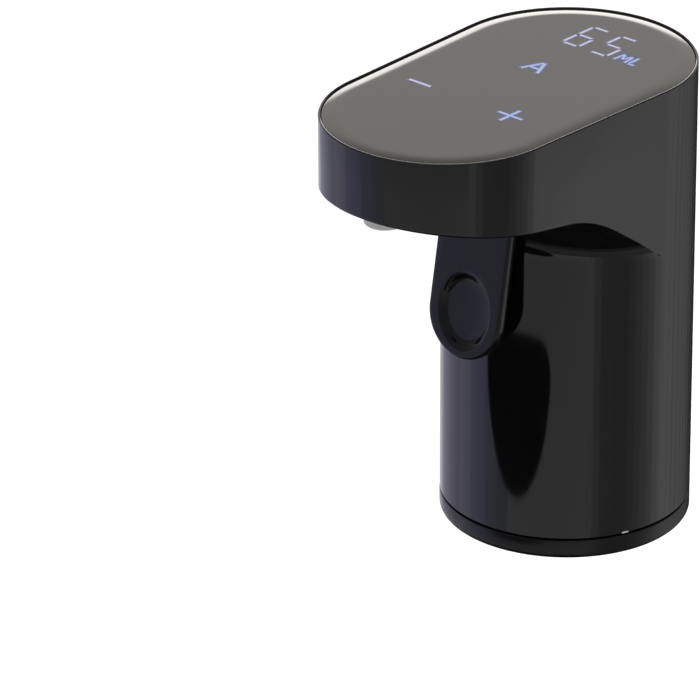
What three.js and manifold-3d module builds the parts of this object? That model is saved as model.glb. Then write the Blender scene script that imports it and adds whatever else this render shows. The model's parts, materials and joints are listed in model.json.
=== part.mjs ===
// An electric wine dispenser that stands on the neck of a bottle.
// Millimetres. +Z is up and the spout points along -Y. The origin is on the axis of the bottle neck,
// level with the underside of the base ring.
import * as THREE from 'three';
import { mergeVertices } from 'three/addons/utils/BufferGeometryUtils.js';
import Module from 'manifold-3d';

const wasm = await Module();
wasm.setup();

// Housing
const COLUMN_R = 27;
const NOSE_R = 26;
const NOSE_Y = -39.6;
const TOP_Z = 104.5;
const UNDERSIDE_Z = 78.95; // the head's underside, extended to the column axis
const UNDERSIDE_RISE = 0.159; // rise of the underside for each millimetre towards the nose
const FILLET_R = 12.7; // between the column and the head's underside
const WALL = 2;
const BORE_R = 24.7; // inside of the column
const RIM = 0.55; // housing rim around the top panel
const PANEL_T = 3;
const GAP = 0.3; // air between neighbours

// Base and bottle neck
const PARTING_Z = 4.6;
const HOUSING_FOOT_Z = PARTING_Z + 0.15;
const SOCKET_R = 16.6; // takes a foil-covered lip of up to 31 mm
const SOCKET_TOP_Z = 13.2;
const STOPPER_R = 8.6;
const STOPPER_RIB_R = 9.7; // presses in a neck of 18.5 mm bore
const STOPPER_LOW_Z = -8;
const CORE_R = 6.2;
const WINE_R = 1.5;
const BARB_R = 2.1;
const WINE_BARB_Z = 20.8;
const AIR_Y = -4.7;
const SCREW_CIRCLE_R = 21.2;
const SCREW_HEAD_Z = 0.4;
const FLANGE_Z = SOCKET_TOP_Z + 2.1; // under the flange of the stopper core

// Paddle
const PIVOT = { y: -27, z: 80.8 };
const PADDLE_TILT = 10; // degrees from upright, lower end forward
const PADDLE_W = 19.4;
const PADDLE_T = 2.4;
const PADDLE_TIP = 34.7; // from the pivot, along the paddle
const PADDLE_FRONT = 2.05; // the front face stands this far in front of the pivot
const DISH = { halfW: 7.2, halfL: 8.8, depth: 1.2, rise: 0.7 }; // rise: above the centre of the round end
const HUB_R = 1.9;
const PIN_R = 0.75;
const PIN_L = 24;
const SPRING_Z = 89;
const SWITCH_Z = 90;

// Insides
const SPOUT_Y = -57.9;
const SPOUT_BARB_Z = 96.8;
const NOZZLE_R = 4.4;
const NOZZLE_BORE_R = 3.6;
const NOZZLE_TIP_Z = 85.9;
const NOZZLE_FLANGE_Z = 92.3;
const BOARD_Z = 95.4;
const BOARD_T = 1.6;
const BOARD_END_Y = -43.5;
const BATTERY = { y: 14.6, r: 9.2, low: 27.6, high: 92.6 };
const PUMP = { y: -10.5, r: 13.5, low: 34 };
const AIR_LINE_Y = -7;
const MOTOR_R = 12.1;
const CRANK = 2.3;
const SWITCH_X = -5;
const SPRING_X = 6;
const USB_Z = 20.4;
const USB_COVER = { halfW: 7, halfH: 4.2 };

const UPRIGHT = [0, 0, 1];
const object = new THREE.Group();

// ---------------------------------------------------------------- solids and booleans

function toSolid(geometry) {
  const bare = geometry.clone();
  bare.deleteAttribute('normal');
  bare.deleteAttribute('uv');
  const merged = mergeVertices(bare, 1e-5);
  const vertProperties = new Float32Array(merged.attributes.position.array);
  const triVerts = new Uint32Array(merged.index.array);
  return new wasm.Manifold(new wasm.Mesh({ numProp: 3, vertProperties, triVerts }));
}

function toGeometry(solid) {
  const mesh = solid.getMesh();
  const geometry = new THREE.BufferGeometry();
  geometry.setAttribute('position', new THREE.BufferAttribute(mesh.vertProperties, 3));
  geometry.setIndex(new THREE.BufferAttribute(mesh.triVerts, 1));
  return geometry;
}

function join(first, ...others) {
  return toGeometry(others.reduce((sum, other) => sum.add(toSolid(other)), toSolid(first)));
}

function cut(first, ...others) {
  return toGeometry(others.reduce((rest, other) => rest.subtract(toSolid(other)), toSolid(first)));
}

function common(first, second) {
  return toGeometry(toSolid(first).intersect(toSolid(second)));
}

function box(x, y, z) {
  const geometry = new THREE.BoxGeometry(x[1] - x[0], y[1] - y[0], z[1] - z[0]);
  return geometry.translate((x[0] + x[1]) / 2, (y[0] + y[1]) / 2, (z[0] + z[1]) / 2);
}

// A body of revolution about the upright line through (x, y), from its [radius, height] outline.
function turned(outline, { x = 0, y = 0, segments = 20 } = {}) {
  const points = outline.map(([r, z]) => new THREE.Vector2(r, z));
  const counterClockwise = THREE.ShapeUtils.area(points) > 0;
  if (!counterClockwise) points.reverse();
  return new THREE.LatheGeometry(points, segments).rotateX(Math.PI / 2).translate(x, y, 0);
}

function rod(r, low, high, place = {}) {
  return turned([[0, low], [r, low], [r, high], [0, high]], place);
}

function ring(inner, outer, low, high, place = {}) {
  return turned([[inner, low], [outer, low], [outer, high], [inner, high], [inner, low]], place);
}

// A rod along `axis` instead of upright, starting at `from`.
function rodAlong(axis, r, length, from, segments = 16) {
  const turn = new THREE.Quaternion().setFromUnitVectors(
    new THREE.Vector3(...UPRIGHT), new THREE.Vector3(...axis).normalize());
  return rod(r, 0, length, { segments }).applyQuaternion(turn).translate(...from);
}

// A flat outline in (y, z) made `width` wide about x.
function profileYZ(points, width, x = 0) {
  const shape = new THREE.Shape(points.map(([y, z]) => new THREE.Vector2(y, z)));
  const geometry = new THREE.ExtrudeGeometry(shape, { depth: width, bevelEnabled: false });
  const columns = new THREE.Matrix4().makeBasis(
    new THREE.Vector3(0, 1, 0), new THREE.Vector3(0, 0, 1), new THREE.Vector3(1, 0, 0));
  return geometry.applyMatrix4(columns).translate(x - width / 2, 0, 0);
}

function pipe(points, radius, { steps = 30, sides = 8, bore = 0 } = {}) {
  const stops = points.map((p) => new THREE.Vector3(...p));
  const extrudePath = new THREE.CatmullRomCurve3(stops, false, 'centripetal');
  const section = (r) => new THREE.Shape().absarc(0, 0, r, 0, 2 * Math.PI, false);
  const shape = section(radius);
  if (bore) shape.holes.push(section(bore));
  const curveSegments = sides / 2;
  return new THREE.ExtrudeGeometry(shape, { extrudePath, steps, curveSegments, bevelEnabled: false });
}

// ---------------------------------------------------------------- the head's plan

// Points of the plan outline, counter-clockwise: the rear arc, then the nose arc.
function planPoints(inset, perArc = 20) {
  const lean = Math.asin((NOSE_R - COLUMN_R) / -NOSE_Y);
  const points = [];
  const arc = (y, r, start, end) => {
    for (let i = 0; i <= perArc; i += 1) {
      const a = start + ((end - start) * i) / perArc;
      points.push([(r - inset) * Math.cos(a), y + (r - inset) * Math.sin(a)]);
    }
  };
  arc(0, COLUMN_R, lean, Math.PI - lean);
  arc(NOSE_Y, NOSE_R, Math.PI - lean, 2 * Math.PI + lean);
  return points;
}

// A solid through plan outlines: each level is [inset, height], and a height may be a function of y.
function planSolid(levels, perArc = 20) {
  const rings = levels.map(([inset, height]) => planPoints(inset, perArc).map(([x, y]) => {
    const z = typeof height === 'function' ? height(y) : height;
    return [x, y, z];
  }));
  const n = rings[0].length;
  const last = (rings.length - 1) * n;
  const index = [];
  for (let k = 0; k < rings.length - 1; k += 1) {
    for (let i = 0; i < n; i += 1) {
      const [a, b] = [k * n + i, k * n + ((i + 1) % n)];
      index.push(a, b, b + n, a, b + n, a + n);
    }
  }
  for (let i = 1; i < n - 1; i += 1) {
    index.push(0, i + 1, i);
    index.push(last, last + i, last + i + 1);
  }
  const geometry = new THREE.BufferGeometry();
  geometry.setAttribute('position', new THREE.Float32BufferAttribute(rings.flat(2), 3));
  geometry.setIndex(index);
  return geometry;
}

const underside = (y) => UNDERSIDE_Z - UNDERSIDE_RISE * y;
const floorTop = (y) => underside(y) + WALL;

// ---------------------------------------------------------------- materials and placing

const LOOKS = {
  gloss_black: [0x101012, 0.12, 0],
  panel_glass: [0x6f6b66, 0.08, 0],
  base_black: [0x18181a, 0.32, 0],
  paddle_black: [0x141416, 0.25, 0],
  silicone: [0xb9bcc0, 0.6, 0],
  dark_silicone: [0x1c1c1e, 0.7, 0],
  clear_tube: [0xdfe3e6, 0.35, 0],
  steel: [0xb8bcc2, 0.3, 1],
  spring_steel: [0xc9ccd2, 0.28, 1],
  brass: [0xb08d4a, 0.35, 1],
  board_green: [0x14432a, 0.5, 0],
  chip_black: [0x17181a, 0.55, 0],
  white_plastic: [0xe8e8e4, 0.5, 0],
  grey_plastic: [0x55585c, 0.55, 0],
  cell_wrap: [0x2f6f9f, 0.4, 0],
  copper: [0xb46a3c, 0.35, 1],
  lead_red: [0x9e1d1d, 0.5, 0],
  lead_black: [0x111111, 0.5, 0],
};

function add(name, look, geometry) {
  const [color, roughness, metalness] = LOOKS[look];
  geometry.computeVertexNormals();
  const mesh = new THREE.Mesh(geometry, new THREE.MeshStandardMaterial({ color, roughness, metalness }));
  mesh.name = name;
  object.add(mesh);
}

// A pan-head screw, head at `z`, its shank pointing along +Z (up = 1) or -Z (up = -1).
function screw({ x, y, z, headR, headH, shankR, length, up }) {
  const outline = [[0, 0], [headR * 0.8, 0], [headR, headH * 0.4], [headR, headH], [shankR, headH],
    [shankR, length - shankR], [0, length]];
  const recess = join(box([-headR / 2, headR / 2], [-0.25, 0.25], [-1, headH * 0.5]),
    box([-0.25, 0.25], [-headR / 2, headR / 2], [-1, headH * 0.5]));
  const body = cut(turned(outline, { segments: 10 }), recess);
  return (up > 0 ? body : body.rotateX(Math.PI)).translate(x, y, z);
}

const around = (radius, degrees) => {
  const a = THREE.MathUtils.degToRad(degrees);
  return { x: radius * Math.cos(a), y: radius * Math.sin(a) };
};

const BASE_SCREW_ANGLES = [-90, 30, 150];
const BASE_SCREWS = BASE_SCREW_ANGLES.map((angle) => around(SCREW_CIRCLE_R, angle));
const BOARD_SCREWS = [[15.9, 15.9], [-15.9, 15.9], [21.7, -39], [-21.7, -39]].map(([x, y]) => ({ x, y }));

// ---------------------------------------------------------------- housing

function columnWithFillet() {
  const steps = 6;
  const reach = COLUMN_R + FILLET_R;
  const outline = [[0, HOUSING_FOOT_Z], [COLUMN_R, HOUSING_FOOT_Z]];
  for (let i = 0; i <= steps; i += 1) {
    const a = ((Math.PI / 2) * i) / steps;
    outline.push([reach - FILLET_R * Math.cos(a), UNDERSIDE_Z - FILLET_R + FILLET_R * Math.sin(a)]);
  }
  outline.push([reach, UNDERSIDE_Z + 3], [0, UNDERSIDE_Z + 3]);
  const geometry = turned(outline, { segments: 64 });
  const position = geometry.attributes.position;
  for (let i = 0; i < position.count; i += 1) {
    const fromLow = (position.getZ(i) - PARTING_Z) / (UNDERSIDE_Z - FILLET_R - PARTING_Z);
    const share = Math.min(1, Math.max(0, fromLow));
    position.setZ(i, position.getZ(i) - share * UNDERSIDE_RISE * position.getY(i));
  }
  return geometry;
}

function outerSkin() {
  const full = planSolid([[0, HOUSING_FOOT_Z], [0, TOP_Z - 0.28], [0.09, TOP_Z - 0.09], [0.28, TOP_Z]]);
  const slab = planSolid([[-1, underside], [-1, TOP_Z + 1]]);
  const rear = box([-COLUMN_R - 1, COLUMN_R + 1], [-0.68, COLUMN_R + 1], [PARTING_Z, TOP_Z + 1]);
  return common(full, join(slab, columnWithFillet(), rear));
}

// The mouth that the paddle comes out of: a side outline in (y, z), narrowed to a front outline in (x, z).
function slotForPaddle() {
  const side = [[-30.9, 87.5], [-30.9, 84], [-29.55, 79.6], [-30.3, 76.5], [-31, 73], [-21, 73], [-21, 87.5]];
  const half = PADDLE_W / 2 + 0.4;
  const front = [[-half, 90], [-half, 77.2], [-7, 73], [7, 73], [half, 77.2], [half, 90]];
  const mouth = new THREE.Shape(front.map(([x, z]) => new THREE.Vector2(x, z)));
  const along = new THREE.ExtrudeGeometry(mouth, { depth: 20, bevelEnabled: false });
  return common(profileYZ(side, PADDLE_W + 2), along.rotateX(Math.PI / 2).translate(0, -15, 0));
}

// A screw boss, tied to the column's wall by a rib.
function baseBoss({ x, y }) {
  const boss = rod(2.4, PARTING_Z, 16, { x, y, segments: 14 });
  const rib = box([0, 3.9], [-1, 1], [7.5, 16]).rotateZ(Math.atan2(y, x)).translate(x, y, 0);
  return join(boss, rib);
}

function boardPost({ x, y }) {
  return rod(2.6, y > 0 ? 86 : floorTop(y) - 1, BOARD_Z - 0.1, { x, y, segments: 14 });
}

// Carries one end of the paddle's pin, inside the slot's side wall.
function pivotBoss(side) {
  const reach = [PADDLE_W / 2 + 0.4, PIN_L / 2 + 0.6];
  const x = side > 0 ? reach : [-reach[1], -reach[0]];
  return box(x, [PIVOT.y - 2, PIVOT.y + 2.5], [PIVOT.z - 2.2, PIVOT.z + 3.2]);
}

function housingFurniture() {
  const nozzleSocket = rod(8.4, 85, NOZZLE_FLANGE_Z - 1.1, { y: SPOUT_Y });
  const switchWall = box([-11, 9.5], [-40.4, -39.1], [84, 92.4]);
  const portPad = box([-9, 9], [22.9, COLUMN_R - 1], [13.5, 26.5]);
  return [...BASE_SCREWS.map(baseBoss), ...BOARD_SCREWS.map(boardPost), nozzleSocket, switchWall, portPad];
}

function housingOpenings() {
  const halfW = USB_COVER.halfW + 0.25;
  const halfH = USB_COVER.halfH + 0.25;
  const panelSeat = planSolid([[RIM, TOP_Z - PANEL_T - 0.1], [RIM, TOP_Z + 1]]);
  const pinHole = rodAlong([1, 0, 0], PIN_R + 0.05, PIN_L + 0.2, [-PIN_L / 2 - 0.1, PIVOT.y, PIVOT.z], 16);
  const nozzleHole = rod(NOZZLE_R + GAP, 80, 95, { y: SPOUT_Y });
  const coverSeat = box([-halfW, halfW], [25.4, 30], [USB_Z - halfH, USB_Z + halfH]);
  const portHole = box([-5.1, 5.1], [20, 30], [USB_Z - 2.2, USB_Z + 2.2]);
  const baseHoles = BASE_SCREWS.map(({ x, y }) => rod(1.2, 0, 13, { x, y, segments: 10 }));
  const boardHoles = BOARD_SCREWS.map(({ x, y }) => rod(0.95, BOARD_Z - 6.5, 96, { x, y, segments: 10 }));
  return [panelSeat, slotForPaddle(), pinHole, nozzleHole, coverSeat, portHole, ...baseHoles, ...boardHoles];
}

function mainHousing() {
  const skin = outerSkin();
  const hollow = join(
    rod(BORE_R, 0, UNDERSIDE_Z + 9, { segments: 56 }),
    planSolid([[WALL, floorTop], [WALL, TOP_Z + 1]]),
  );
  const addWithinSkin = (sum, extra) => join(sum, common(extra, skin));
  const furnished = housingFurniture().reduce(addWithinSkin, cut(skin, hollow));
  return cut([1, -1].map(pivotBoss).reduce(addWithinSkin, furnished), ...housingOpenings());
}

function baseRing() {
  const edge = 1.1;
  const round = [0, 1, 2, 3].map((i) => {
    const a = ((Math.PI / 2) * i) / 3;
    return [COLUMN_R - edge + edge * Math.sin(a), edge - edge * Math.cos(a)];
  });
  const sleeve = 1.7;
  const outline = [
    [SOCKET_R, 0.8], [SOCKET_R + 0.8, 0], ...round,
    [COLUMN_R, PARTING_Z - 0.25], [COLUMN_R - 2.4, PARTING_Z - 0.25], [BORE_R - 0.2, 6.6], [BORE_R - 1, 6.6],
    [BORE_R - 1, 3.4], [SOCKET_R + sleeve, 3.4], [SOCKET_R + sleeve, SOCKET_TOP_Z + 2],
    [CORE_R + GAP, SOCKET_TOP_Z + 2], [CORE_R + GAP, SOCKET_TOP_Z], [SOCKET_R, SOCKET_TOP_Z], [SOCKET_R, 0.8],
  ];
  const holes = BASE_SCREWS.flatMap(({ x, y }) => [
    rod(2.6, -1, 1.8, { x, y, segments: 14 }),
    rod(1.35, -1, 5, { x, y, segments: 10 }),
  ]);
  return cut(turned(outline, { segments: 40 }), ...holes);
}

// ---------------------------------------------------------------- base and stopper

function stopper() {
  const ribs = [-5, -1.4, 2.2, 5.8];
  const bore = CORE_R + GAP;
  const top = SOCKET_TOP_Z - GAP;
  const outline = [[bore, STOPPER_LOW_Z], [STOPPER_R - 1.2, STOPPER_LOW_Z]];
  for (const z of ribs) {
    outline.push([STOPPER_R, z - 1.1], [STOPPER_RIB_R, z], [STOPPER_R, z + 1.1]);
  }
  outline.push([STOPPER_R, top], [bore, top], [bore, STOPPER_LOW_Z]);
  return turned(outline, { segments: 20 });
}

function stopperCore() {
  const low = STOPPER_LOW_Z + 0.4;
  const flangeTop = FLANGE_Z + 2.1;
  const top = 23.4;
  const stem = turned([[0, low], [CORE_R, low], [CORE_R, FLANGE_Z], [9, FLANGE_Z], [9, flangeTop],
    [2.8, flangeTop], [2.8, top], [0, top]]);
  const wineBarb = rodAlong([1, 0, 0], BARB_R, 9, [0, 0, WINE_BARB_Z]);
  const airBarb = rod(1.5, FLANGE_Z + 1, 21, { y: AIR_LINE_Y, segments: 14 });
  return cut(
    join(stem, wineBarb, airBarb),
    rod(3.05, low - 1, low + 10, { segments: 16 }),
    rod(WINE_R, low, WINE_BARB_Z, { segments: 12 }),
    rodAlong([1, 0, 0], WINE_R, 12, [0, 0, WINE_BARB_Z], 12),
    rod(0.8, low - 1, 16.6, { y: AIR_Y, segments: 10 }),
    box([-0.7, 0.7], [AIR_LINE_Y - 0.7, AIR_Y], [15.9, 16.8]),
    rod(0.8, 15.9, 23, { y: AIR_LINE_Y, segments: 10 }),
  );
}

function baseParts() {
  const gasketTop = SOCKET_TOP_Z - 0.05;
  add('base_ring', 'base_black', baseRing());
  add('seat_gasket', 'silicone', ring(10.3, SOCKET_R - 0.4, gasketTop - 1.55, gasketTop, { segments: 28 }));
  add('stopper', 'silicone', stopper());
  add('stopper_core', 'grey_plastic', stopperCore());
  BASE_SCREWS.forEach(({ x, y }, i) => add(`base_screw_${i + 1}`, 'steel', screw(
    { x, y, z: SCREW_HEAD_Z, headR: 2.3, headH: 1.35, shankR: 1.1, length: 12, up: 1 })));
}

// ---------------------------------------------------------------- wine side

// From the stopper's barb, up the side of the column and forward under the board to the spout.
function wineTube() {
  const route = [
    [3.2, 0, WINE_BARB_Z], [9.5, 0, WINE_BARB_Z], [13, 0, 21.2], [16.2, -0.7, 23.3], [18.1, -1.6, 27.3],
    [18.6, -2, 34], [18.6, -2, 55], [18.6, -2, 74], [18.3, -4, 84], [17, -10, 89.6], [15.7, -18, 91.2],
    [15.2, -28, 91.3], [14.8, -37, 91.3], [13.6, -42, 91.5], [11.6, -45.8, 92.5], [8.9, -48.9, 94.9],
    [6.8, -51.1, 96.5], [4.6, -53.3, SPOUT_BARB_Z],
  ];
  return pipe(route, 3, { steps: 34, sides: 8, bore: 2.5 });
}

// The room inside the head's walls, for what reaches close to them.
function insideHead() {
  return planSolid([[WALL + GAP, 80], [WALL + GAP, TOP_Z]]);
}

function nozzle() {
  const [tip, flange] = [NOZZLE_TIP_Z, NOZZLE_FLANGE_Z];
  const outline = [[0, tip], [NOZZLE_R - 0.5, tip], [NOZZLE_R, tip + 1], [NOZZLE_R, flange], [8, flange],
    [8, flange + 1.1], [NOZZLE_R, flange + 1.1], [NOZZLE_R, 99.6], [NOZZLE_R - 1, 100.4], [0, 100.4]];
  const body = common(turned(outline, { y: SPOUT_Y, segments: 22 }), insideHead());
  const start = [0, SPOUT_Y, SPOUT_BARB_Z];
  const barb = rodAlong([1, 1, 0], BARB_R, 8.4, start);
  return cut(
    join(body, barb),
    rod(NOZZLE_BORE_R, tip - 1, SPOUT_BARB_Z + 1.8, { y: SPOUT_Y, segments: 20 }),
    rodAlong([1, 1, 0], WINE_R, 14, start, 12),
  );
}

// A ring with three crossed blades, which break up the stream.
function aerator() {
  const low = NOZZLE_TIP_Z + 1;
  const blade = (angle) => box([-3, 3], [-0.25, 0.25], [low + 0.8, low + 2.8])
    .rotateZ(THREE.MathUtils.degToRad(angle)).translate(0, SPOUT_Y, 0);
  const rim = ring(NOZZLE_BORE_R - 0.8, NOZZLE_BORE_R - 0.1, low, low + 3.2, { y: SPOUT_Y, segments: 20 });
  return join(rim, ...[0, 60, 120].map(blade));
}

function wineParts() {
  add('wine_tube', 'clear_tube', wineTube());
  add('nozzle', 'white_plastic', nozzle());
  add('aerator_insert', 'white_plastic', aerator());
  add('nozzle_seal', 'silicone', common(
    ring(NOZZLE_R + 0.4, 8.2, NOZZLE_FLANGE_Z - 1, NOZZLE_FLANGE_Z - 0.1, { y: SPOUT_Y }),
    insideHead(),
  ));
}

// ---------------------------------------------------------------- air side

// A barbed valve seat with a loose disc over it, and the cap that holds the disc in.
function airParts() {
  const line = { y: AIR_LINE_Y, segments: 16 };
  const valve = { foot: 21.4, seat: 24, top: 28, cap: 27.4, capTop: 29.2, end: 31.4 };
  const body = [[0.8, valve.foot], [1.5, valve.foot], [1.5, valve.seat], [3.4, valve.seat], [3.4, valve.top],
    [2.6, valve.top], [2.6, valve.seat + 1.6], [0.8, valve.seat + 1.6], [0.8, valve.foot]];
  const cap = [[0.8, valve.cap], [2.5, valve.cap], [2.5, valve.top + 0.2], [3.4, valve.top + 0.2],
    [3.4, valve.capTop], [1.5, valve.capTop], [1.5, valve.end], [0.8, valve.end], [0.8, valve.cap]];
  add('air_tube_low', 'clear_tube', ring(1.6, 2.5, 17.7, valve.seat - 0.4, line));
  add('check_valve_body', 'white_plastic', turned(body, line));
  add('check_valve_disc', 'dark_silicone', rod(2.1, valve.cap - 1, valve.cap - 0.3, line));
  add('check_valve_cap', 'white_plastic', turned(cap, line));
  add('air_tube_high', 'clear_tube', ring(1.6, 2.5, valve.capTop + 0.2, PUMP.low - 0.4, line));
}

// A lobe at each third of a turn around the pump's axis.
function thirds(make) {
  return [90, 210, 330].map((angle) => {
    const { x, y } = around(7.4, angle);
    return make(x, y + PUMP.y);
  });
}

function pumpHead(low, axis) {
  const chamber = turned([[0, low], [PUMP.r, low], [PUMP.r, low + 6], [11.5, low + 6], [11.5, low + 2],
    [0, low + 2]], axis);
  const spigot = ring(0.8, 1.5, low - 2.2, low + 0.5, { y: AIR_LINE_Y, segments: 14 });
  const outlet = rod(0.8, low - 1, low + 3, { y: AIR_LINE_Y, segments: 14 });
  const inlet = rodAlong([0, -1, 0], 1, 5, [0, PUMP.y - 10, low + 4], 14);
  return cut(join(chamber, spigot), outlet, inlet);
}

function diaphragm(low, axis) {
  const cup = [[0, 9], [3.4, 9], [3, 12], [1, 12.6], [1, 14.4], [0, 14.4]].map(([r, h]) => [r, low + h]);
  const sheet = rod(PUMP.r - 0.2, low + 8.4, low + 9.6, axis);
  return join(sheet, ...thirds((x, y) => turned(cup, { x, y, segments: 12 })));
}

function swingPlate(low, axis) {
  const hub = rod(5, low, low + 2.2, axis);
  const arms = thirds((x, y) => rod(3.4, low, low + 1.6, { x, y, segments: 12 }));
  return cut(join(hub, ...arms), rod(CRANK + PIN_R + GAP, low - 1, low + 3, axis));
}

// Stacked upwards from the air outlet: head, valves, diaphragm, swing plate and the cover round them.
function pumpParts() {
  const axis = { y: PUMP.y, segments: 22 };
  const { low, r } = PUMP;
  const valveHoles = thirds((x, y) => rod(1.2, low + 5, low + 9, { x, y, segments: 10 }));
  const cover = [[3.6, 22.4], [12.3, 22.4], [12.3, 9.8], [r, 9.8], [r, 24.4], [3.6, 24.4], [3.6, 22.4]];
  add('pump_head', 'grey_plastic', pumpHead(low, axis));
  add('valve_plate', 'white_plastic', cut(rod(r - 0.2, low + 6.2, low + 8.2, axis), ...valveHoles));
  add('diaphragm', 'dark_silicone', diaphragm(low, axis));
  add('swing_plate', 'white_plastic', swingPlate(low + 14.8, axis));
  add('pump_housing', 'grey_plastic', turned(cover.map(([radius, h]) => [radius, low + h]), axis));
}

function motorCan(low, high, axis) {
  return turned([[1.2, low - 1], [3.2, low - 1], [3.2, low], [MOTOR_R, low], [MOTOR_R, high], [1.2, high],
    [1.2, low - 1]], axis);
}

function motorEndCap(low, axis) {
  const r = MOTOR_R - 1;
  const profile = [[1.3, 0], [r, 0], [r, 1.7], [3.4, 1.7], [3.4, 3.1], [1.3, 3.1], [1.3, 0]];
  const cap = turned(profile.map(([radius, z]) => [radius, low + z]), axis);
  const y = [PUMP.y - 0.4, PUMP.y + 0.4];
  const z = [low + 1, low + 4.5];
  return join(cap, box([-8.4, -6.4], y, z), box([6.4, 8.4], y, z));
}

function motorParts() {
  const axis = { y: PUMP.y, segments: 22 };
  const pin = { x: CRANK, y: PUMP.y, segments: 16 };
  const canLow = PUMP.low + 24.6;
  const canHigh = canLow + 26;
  const crankZ = PUMP.low + 18.6;
  const disc = ring(1.1, 4.8, crankZ, crankZ + 3.4, { y: PUMP.y, segments: 20 });
  add('motor_can', 'steel', motorCan(canLow, canHigh, axis));
  add('motor_end_cap', 'chip_black', motorEndCap(canHigh + 0.1, axis));
  add('motor_shaft', 'steel', rod(1, crankZ, canHigh + 4, { y: PUMP.y, segments: 14 }));
  add('eccentric', 'brass', cut(disc, rod(PIN_R + 0.1, crankZ - 1, crankZ + 2.7, pin)));
  add('crank_pin', 'steel', rod(PIN_R, crankZ - 3.4, crankZ + 2.4, pin));
}

// ---------------------------------------------------------------- paddle

// The flat plate of the paddle, hanging down from the pivot, with a shallow finger dish in its front.
function paddlePlate() {
  const half = PADDLE_W / 2;
  const straightEnd = PADDLE_TIP - half;
  const edge = 0.5;
  const outline = new THREE.Shape();
  outline.moveTo(-half, edge);
  outline.lineTo(-half, -straightEnd);
  outline.absarc(0, -straightEnd, half, Math.PI, 2 * Math.PI, false);
  outline.lineTo(half, edge);
  const plate = new THREE.ExtrudeGeometry(outline, {
    depth: PADDLE_T - 2 * edge,
    bevelThickness: edge,
    bevelSize: edge,
    bevelOffset: -edge,
    bevelSegments: 2,
    curveSegments: 10,
  }).translate(0, 0, edge);
  const dish = rod(1, 0, 3, { segments: 22 }).scale(DISH.halfW, DISH.halfL, 1)
    .translate(0, DISH.rise - straightEnd, PADDLE_T - DISH.depth);
  return cut(plate, dish);
}

function paddle() {
  const half = PADDLE_W / 2;
  const plate = paddlePlate().translate(0, 0, PADDLE_FRONT - PADDLE_T)
    .rotateX(THREE.MathUtils.degToRad(90 - PADDLE_TILT)).translate(0, PIVOT.y, PIVOT.z);
  const leverSide = [[-28.6, 80], [-29.9, 84], [-29.9, 91], [-28.1, 91], [-28.1, 84], [-25.6, PIVOT.z]];
  const lever = profileYZ(leverSide, 18);
  const hub = rodAlong([1, 0, 0], HUB_R, PADDLE_W, [-half, PIVOT.y, PIVOT.z], 20);
  const bore = rodAlong([1, 0, 0], PIN_R + 0.06, PADDLE_W + 4, [-half - 2, PIVOT.y, PIVOT.z], 14);
  return cut(join(plate, lever, hub), bore);
}

// A coil between the lever and the wall behind the switch.
function returnSpring() {
  const turns = 5;
  const perTurn = 10;
  const coilR = 1.7;
  const [from, to] = [-30.3, -38.8];
  const points = [];
  for (let i = 0; i <= turns * perTurn; i += 1) {
    const a = (2 * Math.PI * i) / perTurn;
    const y = from + ((to - from) * i) / (turns * perTurn);
    points.push([SPRING_X + coilR * Math.cos(a), y, SPRING_Z + coilR * Math.sin(a)]);
  }
  return pipe(points, 0.25, { steps: turns * perTurn, sides: 4 });
}

function paddleParts() {
  const shell = box([SWITCH_X - 6.4, SWITCH_X + 6.4], [-38.7, -32.2], [SWITCH_Z - 2.1, SWITCH_Z + 2.9]);
  const slide = rodAlong([0, -1, 0], 1.2, 3.2, [SWITCH_X, -31.9, SWITCH_Z], 20);
  add('push_paddle', 'paddle_black', paddle());
  add('paddle_pin', 'steel', rodAlong([1, 0, 0], PIN_R, PIN_L, [-PIN_L / 2, PIVOT.y, PIVOT.z], 20));
  add('paddle_spring', 'spring_steel', returnSpring());
  add('switch_body', 'chip_black', cut(shell, slide));
  add('switch_plunger', 'lead_red', rodAlong([0, -1, 0], 1, 3, [SWITCH_X, -30.3, SWITCH_Z], 20));
}

// ---------------------------------------------------------------- power

function battery() {
  const { r, low, high } = BATTERY;
  const shoulder = high - 0.9;
  return turned([[0, low], [r - 0.6, low], [r, low + 0.6], [r, shoulder - 0.7], [r - 0.8, shoulder],
    [3.2, shoulder], [3.2, high], [0, high]], { y: BATTERY.y, segments: 22 });
}

// A web between the pump and the cell, with clips for both and a shelf under the cell.
function chassis() {
  const half = 23.8;
  const low = 24.6;
  const web = box([-half, half], [3.55, 4.75], [low, 93]);
  const clip = (z) => common(
    ring(BATTERY.r + 0.25, BATTERY.r + 1.3, z, z + 7, { y: BATTERY.y, segments: 22 }),
    box([-14, 14], [3.6, 21], [z - 1, z + 8]),
  );
  const shelf = common(rod(half, low, low + 2, { segments: 32 }), box([-24, 24], [4, 22.4], [24, 27]));
  const saddle = common(
    ring(PUMP.r + 0.25, PUMP.r + 1.4, 44, 50, { y: PUMP.y, segments: 22 }),
    box([-16, 16], [PUMP.y + 2, 4], [43, 51]),
  );
  const leadHole = rod(1.5, 20, 30, { x: -15, y: 10, segments: 12 });
  return cut(join(web, clip(34), clip(76), shelf, saddle), leadHole);
}

function usbSocket() {
  const shell = box([-4.45, 4.45], [17.8, 25.1], [USB_Z - 1.6, USB_Z + 1.6]);
  const hollow = box([-4.15, 4.15], [18.8, 26], [USB_Z - 1.3, USB_Z + 1.3]);
  const tongue = box([-3.35, 3.35], [18.6, 24.4], [USB_Z - 0.35, USB_Z + 0.35]);
  return join(cut(shell, hollow), tongue);
}

function usbCover() {
  const { halfW, halfH } = USB_COVER;
  const slab = box([-halfW, halfW], [25.65, 28], [USB_Z - halfH, USB_Z + halfH]);
  const skin = common(slab, rod(COLUMN_R - 0.05, USB_Z - 8, USB_Z + 8, { segments: 96 }));
  return join(skin, box([-4.2, 4.2], [25.3, 25.9], [USB_Z - 1.4, USB_Z + 1.3]));
}

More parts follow.
